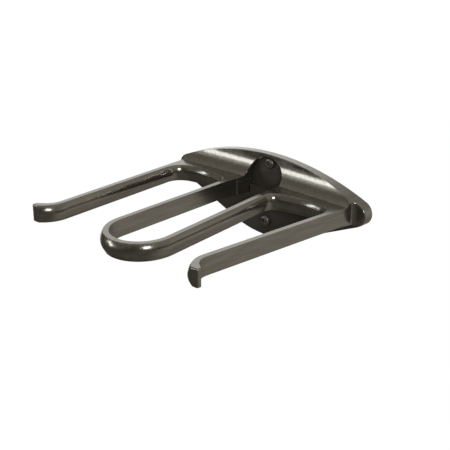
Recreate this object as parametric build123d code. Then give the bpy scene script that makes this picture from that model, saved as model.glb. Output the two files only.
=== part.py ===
from build123d import *
from math import asin, atan, cos, degrees, pi, radians, sin, sqrt, tan
import os

os.makedirs("parts", exist_ok=True)

# Twin-slot wall rack.  Millimetres, +Z up.  The wall is the plane y = 0 and the rack stands out from it
# towards -Y.  x = 0 is the centre line and z = 0 is the flat top of the two arms.

# ---- rack casting: arms ----
DEPTH = 14.0             # height of an arm or leg
TOP_WIDTH = 4.4          # width of the flat top of an arm or leg
BULGE = 2.5              # how far the rounded side stands out past the edge of the flat top
UNDERCUT = 0.6           # how far the bottom edge of the rounded side is set back
ARM_X = 91.5             # outer side of an arm, taken back to the wall
ARM_SLOPE = 0.075        # how fast the arms close in away from the wall
ARM_END = 158.6          # where the outward turn of the tip starts
TURN = 54.0              # how far the outer side turns, degrees
TURN_R = 13.8            # on this radius
TOE_START = 158.4        # where the slot side follows
TOE_TURN = 75.0          # how far it would turn, degrees
TOE_R = 22.5             # on this radius
TOE_FRONT = 177.6        # the tip is cut off parallel to the wall
TOE_X = 90.6             # outermost point of the tip
TOE_EDGE = 1.6           # rounding of its upright corner
TOE_FILLET = 1.0         # rounding round its flat front
TOE_SPARE = 30.0         # length of a tip before it is cut off

# ---- rack casting: centre loop ----
KNEE_X = 20.35           # inner half width of the loop at the knee, where its legs run straight out
KNEE_Y = 40.0            # where the loop starts to droop
DROOP = 2.5              # droop of the loop, degrees
KNEE_RUN = 3.8           # length of straight leg to either side of the knee
LEG_BEND = 150.0         # radius between straight leg and spreading leg
NOSE_Y = 144.6           # centre of the round nose
NOSE_IN = 24.9           # inside radius of the nose
LEG_SLOPE = (NOSE_IN - KNEE_X) / (NOSE_Y - KNEE_Y - KNEE_RUN)   # how fast the legs spread

# ---- rack casting: crown, cove and slot roots ----
CROWN_R = 240.0          # radius of the arched top
CROWN_TOP = 21.6         # highest point of the arch
END_X = 92.0             # centre of a rounded end, which runs on from the arch
END_R = 9.8
END_Z = CROWN_TOP - CROWN_R + sqrt((CROWN_R - END_R) ** 2 - END_X**2)
BOTTOM = END_Z - END_R   # underside of the crown
RIM = 6.6                # thickness of the crown at its thin top
COVE_R = 22.0            # radius of the cove under the rim
COVE_TOP = 16.6          # where the cove starts below the rim
BOW_R = 1250.0           # radius on which rim and cove bow forward towards the ends
END_FACE = 9.4           # depth of the flat face of a rounded end
END_FILLET = 4.0         # between that face and the side of the arm
END_EDGE = 1.3           # rounding of the outer edge of that face
ROOT_Y = 22.4            # rear of a slot, before its roof-shaped root is rounded
ROOT_X = 57.0            # and where it lies
ROOT_R = 50.0            # rounding of the roof shape
ROOT_OUT = 27.8          # where the root meets the arm
ROOT_IN = 29.3           # where the root meets the loop leg
CORNER_IN = 10.5         # radius between slot root and loop leg
CORNER_OUT = 15.0        # radius between slot root and arm
FLARE_FROM = 38.0        # the undersides drop from here back to the wall
FLARE_R = 280.0          # on this radius
FLARE_TO = 8.0           # to a step that clears the bracket
OPENING_R = 19.1         # arch of the opening through the crown
OPENING_Z = -0.4

# ---- wall bracket ----
SEAT = 2.6               # thickness of the thin plate behind the casting
SHIELD = 7.6             # thickness of the shield below it
APEX_Z = -49.3           # point of the shield
APEX_R = 93.6
FLANK = 23.0             # slope of the shield's lower sides, degrees
STEP_Z = -8.6            # top of the step that fills the foot of the opening
STEP_X = 18.4
WING_X = 82.0            # half width of the thin plate
WING_Z = 5.0
GAP = 0.2                # clearance round the thin plate

# ---- screws ----
UPPER_Z = 13.0
LOWER_Z = -36.0
HEAD_R = 4.75
HEAD_H = 3.3
HEAD_DOME = 2.2          # rounding of the head
CROSS_WIDTH = 1.1        # cross recess
CROSS_SPAN = 5.0
CROSS_DEPTH = 1.6
STUD_R = 2.5             # threaded part, behind the wall plane
NECK_R = 2.1             # plain part, inside the bracket
HOLE_R = 2.9
STUD_LENGTH = 8.5
TIP_LENGTH = 0.8         # chamfer at the end of the thread
FIX_R = 2.0              # fixing screws
FIX_HEAD_R = 3.9
FIX_DEPTH = 14.0
FIX_PLAY = 0.05          # play round a fixing screw
FIX_CROSS_WIDTH = 0.8
FIX_CROSS_SPAN = 3.6
FIX_CROSS_DEPTH = 1.2
FIX_PLACES = ((-66.0, -5.0), (-34.0, -5.0), (34.0, -5.0), (66.0, -5.0))

# ---- cutting shapes ----
CLEAR = 1.0              # how far cutting shapes reach past the wall plane
FAR = 200.0              # and past everything else
BASE = (Align.CENTER, Align.CENTER, Align.MIN)


def both_sides(shape):
    """A shape together with its mirror image across the centre line."""
    return shape + mirror(shape, about=Plane.YZ)


def block(x0, x1, y0, y1, z0, z1):
    """An upright box between two corners."""
    centre = ((x0 + x1) / 2, (y0 + y1) / 2, (z0 + z1) / 2)
    return Pos(*centre) * Box(x1 - x0, y1 - y0, z1 - z0)


def pin(radius, x, z, y0, y1):
    """A round bar along Y."""
    bar = Cylinder(radius, y1 - y0, align=BASE)
    return Pos(x, y0, z) * Rot(-90, 0, 0) * bar


def rounded(points, radii):
    """Edges of an open polyline whose inner corners are rounded with the radii given."""
    edges = []
    last = Vector(*points[0])
    for before, corner, after, radius in zip(points, points[1:], points[2:], radii):
        here = Vector(*corner)
        back = (Vector(*before) - here).normalized()
        ahead = (Vector(*after) - here).normalized()
        half = radians(back.get_angle(ahead)) / 2
        start = here + back * (radius / tan(half))
        end = here + ahead * (radius / tan(half))
        inward = (back + ahead).normalized()
        middle = here + inward * (radius / sin(half) - radius)
        edges.append(Line(last, start))
        edges.append(ThreePointArc(start, middle, end))
        last = end
    edges.append(Line(last, Vector(*points[-1])))
    return edges


def loop_line(offset):
    """Right half of the loop's inner edge in front of the knee, moved outwards by an offset."""
    radius = NOSE_IN + offset
    lean = atan(LEG_SLOPE)
    points = [
        (KNEE_X + offset, KNEE_RUN - KNEE_Y),
        (KNEE_X + offset, -KNEE_RUN - KNEE_Y),
        (radius * cos(lean), radius * sin(lean) - NOSE_Y),
    ]
    leg = rounded(points, [LEG_BEND])
    half = (pi / 2 + lean) / 2
    middle = (radius * sin(half), -NOSE_Y - radius * cos(half))
    return Wire([*leg, ThreePointArc(leg[-1] @ 1, middle, (0, -NOSE_Y - radius))])


def turned(start, angle, length):
    """A point at a distance from the start, in the direction -Y turned outwards by an angle."""
    return (start[0] + length * sin(radians(angle)), start[1] - length * cos(radians(angle)))


def arm_line(y, offset):
    """A point on the arm's straight side, moved towards the slot by an offset."""
    return (ARM_X - offset - ARM_SLOPE * y, -y)


def slot_line():
    """Edge of the right slot at the level of the flat tops, from the tip round to the loop leg."""
    corner = arm_line(TOE_START + TOE_R * tan(radians(TOE_TURN) / 2), TOP_WIDTH)
    points = [
        turned(corner, TOE_TURN, TOE_SPARE),
        corner,
        arm_line(ROOT_OUT, TOP_WIDTH),
        (ROOT_X, -ROOT_Y),
        (KNEE_X + TOP_WIDTH, -ROOT_IN),
        (KNEE_X + TOP_WIDTH, -KNEE_Y - KNEE_RUN),
    ]
    return rounded(points, [TOE_R, CORNER_OUT, ROOT_R, CORNER_IN])


def outer_line():
    """Outer side of the right arm, from the wall out to the tip."""
    corner = arm_line(ARM_END + TURN_R * tan(radians(TURN) / 2), 0)
    return rounded([arm_line(0, 0), corner, turned(corner, TURN, TOE_SPARE)], [TURN_R])


def inner_line():
    """Inner side of the right loop leg behind the knee, from the knee back to the wall."""
    run = (KNEE_X - OPENING_R) / LEG_SLOPE
    points = [
        (KNEE_X, -KNEE_Y - KNEE_RUN),
        (KNEE_X, KNEE_RUN - KNEE_Y),
        (OPENING_R, KNEE_RUN - KNEE_Y + run),
        (OPENING_R, 0),
    ]
    return rounded(points, [LEG_BEND, LEG_BEND])


def side_profile(start, outwards):
    """Cross-section of the rounded side, standing on the edge of a flat top."""
    place = Plane(origin=start, x_dir=outwards, z_dir=Vector(*outwards).cross(Vector(0, 0, 1)))
    round_side = ThreePointArc((0, 0), (BULGE, -DEPTH / 2), (-UNDERCUT, -DEPTH))
    core = Polyline((-UNDERCUT, -DEPTH), (-TOP_WIDTH / 2, -DEPTH), (-TOP_WIDTH / 2, 0), (0, 0))
    return place * make_face([round_side, core])


def mitre():
    """Plane through the knee that halves the droop; its front looks towards the nose."""
    lean = radians(DROOP / 2)
    return Plane(origin=(0, -KNEE_Y, 0), x_dir=(1, 0, 0), z_dir=(0, -cos(lean), -sin(lean)))


def loop():
    """Right half of the loop in front of the knee, drooping."""
    edge = loop_line(TOP_WIDTH)
    hole = loop_line(0)
    ends = [Line(edge @ 0, hole @ 0), Line(edge @ 1, hole @ 1)]
    core = extrude(make_face([*edge.edges(), *hole.edges(), *ends]), -DEPTH)
    legs = core + sweep(side_profile(edge @ 0, (1, 0, 0)), path=edge)
    drooped = legs.rotate(Axis((0, -KNEE_Y, 0), (1, 0, 0)), DROOP)
    return split(drooped, bisect_by=mitre(), keep=Keep.TOP)


def underside():
    """Everything below the casting: level under the arms, dropping in a curve towards the wall."""
    rise = FLARE_R - sqrt(FLARE_R**2 - (FLARE_FROM - FLARE_TO) ** 2)
    half = asin((FLARE_FROM - FLARE_TO) / FLARE_R) / 2
    middle = (-FLARE_FROM + FLARE_R * sin(half), -DEPTH - FLARE_R * (1 - cos(half)))
    curve = ThreePointArc((-FLARE_FROM, -DEPTH), middle, (-FLARE_TO, -DEPTH - rise))
    rest = Polyline(
        (-FLARE_TO, -DEPTH - rise),
        (-FLARE_TO, BOTTOM),
        (CLEAR, BOTTOM),
        (CLEAR, -FAR),
        (-FAR, -FAR),
        (-FAR, -DEPTH),
        (-FLARE_FROM, -DEPTH),
    )
    return extrude(Plane.YZ * make_face([curve, rest]), FAR, both=True)


def tip_limits():
    """Everything behind the flat front of a tip and inside its outermost point."""
    points = [(0, 0), (0, -TOE_FRONT), (TOE_X, -TOE_FRONT), (TOE_X, 0)]
    corner = rounded(points[1:], [TOE_EDGE])
    rest = Polyline(points[3], points[0], points[1])
    return extrude(make_face([*corner, rest]), FAR, both=True)


def body():
    """Right half of the level part: arm, slot root and the root of the loop."""
    slot = slot_line()
    outer = outer_line()
    inner = inner_line()
    ends = [
        Line(slot[-1] @ 1, inner[0] @ 0),
        Line(inner[-1] @ 1, outer[0] @ 0),
        Line(outer[-1] @ 1, slot[0] @ 0),
    ]
    plan = make_face([*slot, *outer, *inner, *ends])
    path = Wire(slot)
    tip = turned((0, 0), TOE_TURN - 90, 1)
    rounded_side = sweep(side_profile(path @ 0, (*tip, 0)), path=path)
    level = (extrude(plan, -2 * DEPTH) - underside() + rounded_side) & tip_limits()
    stub = block(0, ROOT_X, -KNEE_Y - 2 * KNEE_RUN, KNEE_RUN - KNEE_Y, -2 * DEPTH, DEPTH)
    return level - split(stub, bisect_by=mitre(), keep=Keep.TOP)


def crown_face():
    """Front view of the crown: arched top, round ends, straight bottom."""
    slope = END_X / (CROWN_R - END_R)
    corner = (END_X + END_R * slope, END_Z + END_R * sqrt(1 - slope**2))
    arch = ThreePointArc((-corner[0], corner[1]), (0, CROWN_TOP), corner)
    end = ThreePointArc(corner, (END_X + END_R, END_Z), (END_X, BOTTOM))
    other = mirror(end, about=Plane.YZ).edge()
    return Plane.XZ * make_face([arch, end, Line((END_X, BOTTOM), (-END_X, BOTTOM)), other])


def cove():
    """Everything in front of rim and cove, above the flat land."""
    foot = COVE_R - sqrt(COVE_R**2 - COVE_TOP**2)
    half = asin(COVE_TOP / COVE_R) / 2
    middle = (-RIM - COVE_R * (1 - cos(half)), COVE_TOP - COVE_R * sin(half))
    curve = ThreePointArc((-RIM, COVE_TOP), middle, (-RIM - foot, 0))
    rest = Polyline((-RIM - foot, 0), (-FAR, 0), (-FAR, FAR), (-RIM, FAR), (-RIM, COVE_TOP))
    section = Plane.YZ * make_face([curve, rest])
    axis = Axis((0, -RIM - BOW_R, 0), (0, 0, 1))
    turn = degrees(FAR / BOW_R)
    return revolve(section, axis, turn) + revolve(section, axis, -turn)


def opening(clearance):
    """Front view of the arched opening, made smaller by a clearance."""
    radius = OPENING_R - clearance
    arch = ThreePointArc((radius, OPENING_Z), (0, OPENING_Z + radius), (-radius, OPENING_Z))
    sides = Polyline((-radius, OPENING_Z), (-radius, -FAR), (radius, -FAR), (radius, OPENING_Z))
    return Plane.XZ * make_face([arch, sides])


def at(edge, x, y):
    """Whether an edge stands upright at a place in plan."""
    return all(abs((edge @ end).X - x) + abs((edge @ end).Y - y) < FIX_PLAY for end in (0, 1))


def on_front(solid, y):
    """Edges that lie in a plane parallel to the wall, at a distance from it."""
    return solid.edges().filter_by_position(Axis.Y, -y - FIX_PLAY, FIX_PLAY - y)


def right_half():
    """The rack casting to the right of the centre line."""
    between = Polyline((0, 0), arm_line(0, 0), arm_line(ROOT_Y, 0), (0, -ROOT_Y), close=True)
    middle = extrude(crown_face(), ROOT_Y) & extrude(make_face(between), FAR, both=True)
    right = block(0, FAR, -FAR, CLEAR, -FAR, FAR)
    crown = (extrude(crown_face(), END_FACE) & right) + middle - underside() - cove()
    solid = crown + body() + loop()
    solid -= extrude(opening(0), FLARE_TO + COVE_R)
    solid -= block(-CLEAR, WING_X + GAP, -SEAT, CLEAR, -FAR, WING_Z + GAP)
    for x, z in FIX_PLACES:
        solid -= pin(FIX_R + FIX_PLAY, x, z, -FIX_DEPTH - GAP, 0)
    corner = arm_line(END_FACE, 0)
    solid = fillet(solid.edges().filter_by(lambda edge: at(edge, *corner)), END_FILLET)
    solid = fillet(on_front(solid, END_FACE).sort_by(Axis.X)[-1], END_EDGE)
    return fillet(on_front(solid, TOE_FRONT), TOE_FILLET)


def casting():
    """The whole rack casting."""
    return both_sides(right_half())


def shield_face():
    """Front view of the shield: straight top, straight flanks, rounded point."""
    turn = radians(FLANK)
    bend = (APEX_R * sin(turn), APEX_Z + APEX_R * (1 - cos(turn)))
    top = BOTTOM - GAP
    corner = (bend[0] + (top - bend[1]) / tan(turn), top)
    point = ThreePointArc((-bend[0], bend[1]), (0, APEX_Z), bend)
    edges = Polyline(bend, corner, (-corner[0], corner[1]), (-bend[0], bend[1]))
    return Plane.XZ * make_face([point, edges])


def bracket():
    """The shield with the thin plate that reaches up behind the casting."""
    wings = block(-WING_X, WING_X, -SEAT, 0, BOTTOM - 2 * GAP, WING_Z)
    tongue = extrude(opening(GAP), SEAT) & block(-FAR, FAR, -SEAT, 0, BOTTOM, FAR)
    step = block(-STEP_X, STEP_X, -SHIELD, 0, BOTTOM - 2 * GAP, STEP_Z)
    solid = extrude(shield_face(), SHIELD) + wings + tongue + step
    solid -= pin(HOLE_R, 0, UPPER_Z, -SHIELD, 0)
    solid -= pin(HOLE_R, 0, LOWER_Z, -SHIELD, 0)
    for x, z in FIX_PLACES:
        solid -= countersunk(x, z, FIX_PLAY, SEAT)
    return solid


def cross(x, z, y, width, span, depth):
    """A cross-shaped recess that goes in from y along Y."""
    upright = block(x - width / 2, x + width / 2, y, y + depth, z - span / 2, z + span / 2)
    return upright + block(x - span / 2, x + span / 2, y, y + depth, z - width / 2, z + width / 2)


def wall_screw(z, seat):
    """A pan head screw: head on the bracket, plain neck inside it, thread behind the wall plane."""
    head = pin(HEAD_R, 0, z, -seat - HEAD_H, -seat)
    front = head.edges().filter_by(GeomType.CIRCLE).sort_by(Axis.Y)[0]
    head = fillet(front, HEAD_DOME)
    head -= cross(0, z, -seat - HEAD_H, CROSS_WIDTH, CROSS_SPAN, CROSS_DEPTH)
    chamfer = Cone(STUD_R, STUD_R - TIP_LENGTH, TIP_LENGTH, align=BASE)
    tip = Pos(0, STUD_LENGTH, z) * Rot(-90, 0, 0) * chamfer
    return head + pin(NECK_R, 0, z, -seat, 0) + pin(STUD_R, 0, z, 0, STUD_LENGTH) + tip


def countersunk(x, z, play, depth):
    """A countersunk screw from the back, made larger all round by some play."""
    cone = Cone(FIX_HEAD_R + play, FIX_R + play, FIX_HEAD_R - FIX_R, align=BASE)
    return Pos(x, 0, z) * Rot(90, 0, 0) * cone + pin(FIX_R + play, x, z, -depth, 0)


def fixing_screw(x, z):
    """A countersunk screw that holds the casting to the bracket."""
    recess = cross(x, z, -FIX_CROSS_DEPTH, FIX_CROSS_WIDTH, FIX_CROSS_SPAN, FIX_CROSS_DEPTH)
    return countersunk(x, z, 0, FIX_DEPTH) - recess


parts = {
    "rack_casting": casting(),
    "wall_bracket": bracket(),
    "upper_wall_screw": wall_screw(UPPER_Z, SEAT),
    "lower_wall_screw": wall_screw(LOWER_Z, SHIELD),
}
for number, (x, z) in enumerate(FIX_PLACES, start=1):
    parts[f"fixing_screw_{number}"] = fixing_screw(x, z)

for name, shape in parts.items():
    export_step(shape, f"parts/{name}.step")
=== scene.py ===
import math

import bmesh
import bpy
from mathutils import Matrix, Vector


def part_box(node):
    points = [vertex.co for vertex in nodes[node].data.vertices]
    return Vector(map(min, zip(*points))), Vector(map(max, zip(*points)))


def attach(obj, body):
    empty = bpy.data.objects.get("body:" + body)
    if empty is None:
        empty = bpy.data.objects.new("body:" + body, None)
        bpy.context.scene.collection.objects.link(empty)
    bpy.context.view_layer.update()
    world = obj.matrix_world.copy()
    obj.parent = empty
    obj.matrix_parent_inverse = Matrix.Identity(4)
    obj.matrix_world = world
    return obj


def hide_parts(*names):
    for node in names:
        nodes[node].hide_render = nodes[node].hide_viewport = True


# Twin-slot wall rack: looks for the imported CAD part.  Metres, +Z up, the wall is the plane y = 0.

MM = 0.001
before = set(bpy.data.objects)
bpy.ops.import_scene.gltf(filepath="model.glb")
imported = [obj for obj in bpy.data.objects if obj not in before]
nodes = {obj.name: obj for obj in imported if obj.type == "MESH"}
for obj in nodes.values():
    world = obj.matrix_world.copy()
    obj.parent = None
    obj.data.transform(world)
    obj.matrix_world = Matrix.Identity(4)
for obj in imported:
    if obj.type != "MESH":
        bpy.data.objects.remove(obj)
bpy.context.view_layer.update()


# ---------------------------------------------------------------- node helpers
NOISE_MIDDLE = (0.35, 0.65)     # where most of a noise's values lie
SUM_MIDDLE = (0.7, 1.3)         # and those of two noises added
BEVEL_SAMPLES = 6


def new_material(name):
    """An empty node material with its shader."""
    material = bpy.data.materials.new(name)
    material.use_nodes = True
    return material, material.node_tree, material.node_tree.nodes["Principled BSDF"]


def noise(tree, scale, detail=4.0, roughness=0.5, stretch=(1, 1, 1)):
    """Noise in the row's own coordinates, in features per metre."""
    coords = tree.nodes.new("ShaderNodeTexCoord")
    mapping = tree.nodes.new("ShaderNodeMapping")
    mapping.inputs["Scale"].default_value = stretch
    texture = tree.nodes.new("ShaderNodeTexNoise")
    texture.inputs["Scale"].default_value = scale
    texture.inputs["Detail"].default_value = detail
    texture.inputs["Roughness"].default_value = roughness
    tree.links.new(coords.outputs["Object"], mapping.inputs["Vector"])
    tree.links.new(mapping.outputs["Vector"], texture.inputs["Vector"])
    return texture.outputs["Fac"]


def remap(tree, value, low, high, to_low, to_high):
    """A value taken from one range to another."""
    node = tree.nodes.new("ShaderNodeMapRange")
    node.inputs["From Min"].default_value = low
    node.inputs["From Max"].default_value = high
    node.inputs["To Min"].default_value = to_low
    node.inputs["To Max"].default_value = to_high
    tree.links.new(value, node.inputs["Value"])
    return node.outputs["Result"]


def mix_colours(tree, factor, first, second):
    """A mix of two colours."""
    node = tree.nodes.new("ShaderNodeMix")
    node.data_type = "RGBA"
    tree.links.new(factor, node.inputs["Factor"])
    for name, colour in (("A", first), ("B", second)):
        socket = next(s for s in node.inputs if s.name == name and s.type == "RGBA")
        socket.default_value = (*colour, 1)
    return next(s for s in node.outputs if s.type == "RGBA")


def maths(tree, operation, first, second):
    """A sum, product and so on of two values."""
    node = tree.nodes.new("ShaderNodeMath")
    node.operation = operation
    for socket, value in zip(node.inputs, (first, second)):
        if isinstance(value, (int, float)):
            socket.default_value = value
        else:
            tree.links.new(value, socket)
    return node.outputs[0]


def bump(tree, shader, height, distance, edge):
    """Relief of a given depth, on edges softened to a given radius, both in metres."""
    node = tree.nodes.new("ShaderNodeBump")
    node.inputs["Strength"].default_value = 1.0
    node.inputs["Distance"].default_value = distance
    tree.links.new(height, node.inputs["Height"])
    soft = tree.nodes.new("ShaderNodeBevel")
    soft.samples = BEVEL_SAMPLES
    soft.inputs["Radius"].default_value = edge
    tree.links.new(soft.outputs["Normal"], node.inputs["Normal"])
    tree.links.new(node.outputs["Normal"], shader.inputs["Normal"])


def contrast(tree, value):
    """Noise with its middle range drawn out to 0..1."""
    return remap(tree, value, *NOISE_MIDDLE, 0, 1)


def uneven_roughness(tree, shader, first, second, low, high):
    """Roughness between two limits, from the sum of two noises."""
    total = maths(tree, "ADD", first, second)
    tree.links.new(remap(tree, total, *SUM_MIDDLE, low, high), shader.inputs["Roughness"])


# ---------------------------------------------------------------- materials
LACQUER_DARK = (0.205, 0.190, 0.153)
LACQUER_LIGHT = (0.272, 0.251, 0.208)
LACQUER_ROUGHNESS = (0.18, 0.23)
LACQUER_RELIEF = 0.01 * MM
LACQUER_EDGE = 0.8 * MM
ALONG_ARMS = (1, 0.06, 1)       # noise drawn out into streaks along Y
WAVES_ALONG_ARMS = (1, 0.25, 1)
GRAIN_IN_RELIEF = 0.04          # share of the fine grain in the waviness


def lacquered_metal():
    """Bronze-grey lacquer over a cast part: faint streaks along the arms and slight waviness."""
    material, tree, shader = new_material("bronze_lacquer")
    mottle = noise(tree, 55, detail=6, roughness=0.6)
    fine = noise(tree, 900, detail=3)
    streaks = noise(tree, 420, roughness=0.6, stretch=ALONG_ARMS)
    tone = mix_colours(tree, contrast(tree, streaks), LACQUER_DARK, LACQUER_LIGHT)
    tree.links.new(tone, shader.inputs["Base Color"])
    shader.inputs["Metallic"].default_value = 0.9
    uneven_roughness(tree, shader, mottle, fine, *LACQUER_ROUGHNESS)
    shader.inputs["Coat Weight"].default_value = 0.5
    shader.inputs["Coat Roughness"].default_value = 0.16
    shader.inputs["Coat IOR"].default_value = 1.5
    waves = noise(tree, 120, detail=2, stretch=WAVES_ALONG_ARMS)
    relief = maths(tree, "ADD", waves, maths(tree, "MULTIPLY", fine, GRAIN_IN_RELIEF))
    bump(tree, shader, relief, LACQUER_RELIEF, LACQUER_EDGE)
    return material


PAINT_DARK = (0.050, 0.040, 0.029)
PAINT_LIGHT = (0.066, 0.053, 0.039)
PAINT_ROUGHNESS = (0.33, 0.45)
PAINT_RELIEF = 0.03 * MM
PAINT_EDGE = 0.5 * MM


def black_paint():
    """Satin black paint with a fine grain."""
    material, tree, shader = new_material("black_paint")
    mottle = noise(tree, 80, detail=5, roughness=0.6)
    grain = noise(tree, 2200, detail=2)
    tone = mix_colours(tree, contrast(tree, mottle), PAINT_DARK, PAINT_LIGHT)
    tree.links.new(tone, shader.inputs["Base Color"])
    uneven_roughness(tree, shader, mottle, grain, *PAINT_ROUGHNESS)
    bump(tree, shader, grain, PAINT_RELIEF, PAINT_EDGE)
    return material


STEEL_RELIEF = 0.02 * MM
STEEL_EDGE = 0.25 * MM
CLOSE_MARKS = (1, 6, 1)         # noise pressed together along Y, as turning marks are


def plated_steel(name, dark, light, roughness):
    """Plated steel with turning marks and scuffs; roughness is a pair of limits."""
    material, tree, shader = new_material(name)
    scuffs = noise(tree, 420, detail=5, roughness=0.65)
    marks = noise(tree, 1500, detail=2, stretch=CLOSE_MARKS)
    tree.links.new(mix_colours(tree, contrast(tree, scuffs), dark, light), shader.inputs["Base Color"])
    shader.inputs["Metallic"].default_value = 0.85
    uneven_roughness(tree, shader, scuffs, marks, *roughness)
    bump(tree, shader, marks, STEEL_RELIEF, STEEL_EDGE)
    return material


def paint(node, material):
    """A material for a carried-over CAD node."""
    mesh = nodes[node].data
    mesh.materials.clear()
    mesh.materials.append(material)


lacquer = lacquered_metal()
black = black_paint()
dark_steel = plated_steel(
    "dark_plated_steel", dark=(0.16, 0.14, 0.115), light=(0.28, 0.25, 0.21), roughness=(0.26, 0.42)
)
zinc_steel = plated_steel(
    "zinc_plated_steel", dark=(0.42, 0.41, 0.38), light=(0.60, 0.59, 0.56), roughness=(0.25, 0.45)
)

paint("rack_casting", lacquer)
paint("wall_bracket", black)
for name in nodes:
    if name.startswith("fixing_screw"):
        paint(name, zinc_steel)


# ---------------------------------------------------------------- threads of the wall screws
MAJOR = 2.5 * MM            # radius over the thread
MINOR = 2.05 * MM           # radius of its root
PITCH = 0.8 * MM
RUN_OUT = 0.9 * MM          # length over which the thread fades in and out
NECK_END = -0.5 * MM        # where the plain neck is cut
CREST_HALF = 0.12           # half width of the thread's crest, in pitches
FOOT_HALF = 0.32            # and of its foot
ROWS_PER_TURN = 14
SEGMENTS = 44
WELD = 0.001 * MM           # distance at which the CAD mesh's doubled points are joined


def thread_radius(y, angle, start, end):
    """Radius of the thread: a trapezoid wound round the root, faded and chamfered at its ends."""
    phase = (y / PITCH - angle / math.tau) % 1.0
    ridge = min(1.0, max(0.0, (FOOT_HALF - abs(phase - 0.5)) / (FOOT_HALF - CREST_HALF)))
    fade = min(1.0, (y - start) / RUN_OUT)
    chamfer = MAJOR - max(0.0, y - (end - RUN_OUT))
    return min(MINOR + (MAJOR - MINOR) * ridge * fade, chamfer)


def add_thread(bm, z, start, end):
    """A closed threaded rod along Y."""
    count = round((end - start) / PITCH * ROWS_PER_TURN)
    rows = []
    for step in range(count + 1):
        y = start + (end - start) * step / count
        ring = []
        for index in range(SEGMENTS):
            angle = math.tau * index / SEGMENTS
            radius = thread_radius(y, angle, start, end)
            ring.append(bm.verts.new((radius * math.cos(angle), y, z + radius * math.sin(angle))))
        rows.append(ring)
    for ring, after in zip(rows, rows[1:]):
        for index in range(SEGMENTS):
            other = (index + 1) % SEGMENTS
            bm.faces.new((ring[index], after[index], after[other], ring[other])).smooth = True
    bm.faces.new(rows[0])
    bm.faces.new(rows[-1][::-1])


def threaded_screw(node, material):
    """The CAD screw's head and neck with a threaded shank in place of its plain stud."""
    low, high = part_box(node)
    bm = bmesh.new()
    bm.from_mesh(nodes[node].data)
    bmesh.ops.remove_doubles(bm, verts=bm.verts, dist=WELD)
    geometry = [*bm.verts, *bm.edges, *bm.faces]
    cut = bmesh.ops.bisect_plane(
        bm, geom=geometry, plane_co=(0, NECK_END, 0), plane_no=(0, 1, 0), clear_outer=True
    )
    edges = [item for item in cut["geom_cut"] if isinstance(item, bmesh.types.BMEdge)]
    bmesh.ops.holes_fill(bm, edges=edges)
    add_thread(bm, (low[2] + high[2]) / 2, NECK_END, high[1])
    bmesh.ops.recalc_face_normals(bm, faces=bm.faces)
    mesh = bpy.data.meshes.new(node + "_threaded")
    bm.to_mesh(mesh)
    bm.free()
    screw = bpy.data.objects.new(node + "_threaded", mesh)
    bpy.context.scene.collection.objects.link(screw)
    mesh.materials.clear()
    mesh.materials.append(material)
    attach(screw, "root")
    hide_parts(node)


threaded_screw("upper_wall_screw", dark_steel)
threaded_screw("lower_wall_screw", dark_steel)


# ---------------------------------------------------------------- studio
# Soft surroundings: azimuth, elevation, inner radius and outer radius in degrees, then brightness.
SURROUNDINGS = [
    (-136, 2, 27, 46, 0.92),
    (130, 35, 30, 75, 0.30),
    (140, -25, 25, 65, 0.25),
    (60, -50, 20, 70, 0.10),
    (-45, -25, 15, 55, 0.050),
    (-38, 42, 22, 62, 0.17),
    (0, 90, 20, 60, 0.26),
]
AMBIENT = 0.055
WARM_GREY = (1.0, 0.94, 0.82)        # tint of the dim parts
WHITE = (1, 1, 1)
TINT_FADE = (0.1, 0.8)               # brightness over which that tint fades to white

# Lamps on a sphere round the rack: name, azimuth and elevation in degrees, size, power in watts.
LAMPS = [
    ("key", 55, 22, (0.34, 0.24), 8),
    ("strip", -41, 4.8, (0.34, 0.38), 2.1),
    ("fill", -51, 13, (0.25, 0.30), 1.5),
]
LAMP_DISTANCE = 1.6
LAMP_TINT = (0.87, 0.93, 1.0)
RACK_CENTRE = Vector((0, -0.08, 0))

CAMERA_PLACE = (0.50021, -0.57828, 0.25237)
CAMERA_TARGET = (0.0319, -0.0904, -0.0090)
LENS = 77.15                         # millimetres
SENSOR = 36                          # millimetres
CLIP_START = 0.01                    # metres
CLIP_END = 20                        # metres

FLOOR_SIZE = 12.0
FLOOR_Z = -0.45
FLOOR_GLOW = 0.99                    # just under the white of the world


def towards(azimuth, elevation):
    """Unit vector; azimuth 0 is straight out from the wall and grows towards +X."""
    turn, rise = math.radians(azimuth), math.radians(elevation)
    flat = math.cos(rise)
    return (math.sin(turn) * flat, -math.cos(turn) * flat, math.sin(rise))


def place_towards(item, place, target):
    """Puts a lamp or camera at a place, looking at a target."""
    bpy.context.scene.collection.objects.link(item)
    item.location = place
    item.rotation_euler = (Vector(target) - Vector(place)).to_track_quat("-Z", "Y").to_euler()


def camera():
    """The main camera."""
    data = bpy.data.cameras.new("main_camera")
    data.lens = LENS
    data.sensor_width = SENSOR
    data.clip_start = CLIP_START
    data.clip_end = CLIP_END
    eye = bpy.data.objects.new("main_camera", data)
    place_towards(eye, CAMERA_PLACE, CAMERA_TARGET)
    bpy.context.scene.camera = eye


def lamp(name, azimuth, elevation, size, power):
    """A soft rectangular light that looks at the rack."""
    data = bpy.data.lights.new(name, "AREA")
    data.shape = "RECTANGLE"
    data.size, data.size_y = size
    data.energy = power
    data.color = LAMP_TINT
    place = RACK_CENTRE + Vector(towards(azimuth, elevation)) * LAMP_DISTANCE
    place_towards(bpy.data.objects.new(name, data), place, RACK_CENTRE)


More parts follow.
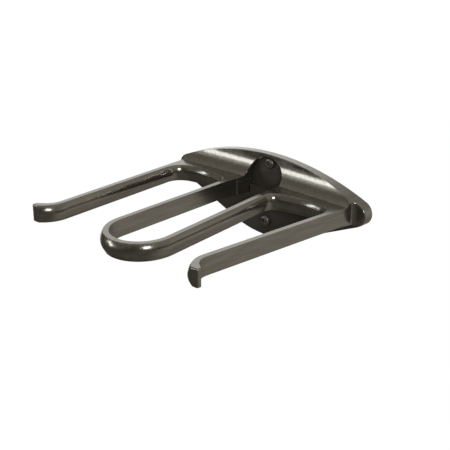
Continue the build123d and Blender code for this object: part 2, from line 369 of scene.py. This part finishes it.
def studio_world():
    """White to the eye; to the object, dim surroundings with a few soft bright areas."""
    world = bpy.data.worlds.new("studio")
    bpy.context.scene.world = world
    world.use_nodes = True
    tree = world.node_tree
    coords = tree.nodes.new("ShaderNodeTexCoord")
    total = AMBIENT
    for azimuth, elevation, inner, outer, brightness in SURROUNDINGS:
        dot = tree.nodes.new("ShaderNodeVectorMath")
        dot.operation = "DOT_PRODUCT"
        tree.links.new(coords.outputs["Generated"], dot.inputs[0])
        dot.inputs[1].default_value = towards(azimuth, elevation)
        ramp = tree.nodes.new("ShaderNodeMapRange")
        ramp.interpolation_type = "SMOOTHSTEP"
        ramp.inputs["From Min"].default_value = math.cos(math.radians(outer))
        ramp.inputs["From Max"].default_value = math.cos(math.radians(inner))
        ramp.inputs["To Max"].default_value = brightness
        tree.links.new(dot.outputs["Value"], ramp.inputs["Value"])
        total = maths(tree, "ADD", ramp.outputs["Result"], total)
    path = tree.nodes.new("ShaderNodeLightPath")
    seen = tree.nodes.new("ShaderNodeMix")
    tree.links.new(path.outputs["Is Camera Ray"], seen.inputs["Factor"])
    tree.links.new(total, seen.inputs["A"])
    seen.inputs["B"].default_value = 1.0
    strength = seen.outputs["Result"]
    tree.links.new(strength, tree.nodes["Background"].inputs["Strength"])
    tint = mix_colours(tree, remap(tree, strength, *TINT_FADE, 0, 1), WARM_GREY, WHITE)
    tree.links.new(tint, tree.nodes["Background"].inputs["Color"])


def floor():
    """A plain pale floor well below the rack; it doesn't show in the lacquer."""
    bpy.ops.mesh.primitive_plane_add(size=FLOOR_SIZE, location=(0, 0, FLOOR_Z))
    plane = bpy.context.object
    plane.name = "floor"
    material, _, shader = new_material("pale_floor")
    shader.inputs["Base Color"].default_value = (0.02, 0.02, 0.02, 1)
    shader.inputs["Roughness"].default_value = 1.0
    shader.inputs["Emission Color"].default_value = (*WHITE, 1)
    shader.inputs["Emission Strength"].default_value = FLOOR_GLOW
    plane.data.materials.append(material)
    plane.visible_glossy = False
    plane.visible_diffuse = False


studio_world()
camera()
for values in LAMPS:
    lamp(*values)
floor()

bpy.context.scene.view_settings.view_transform = "Standard"
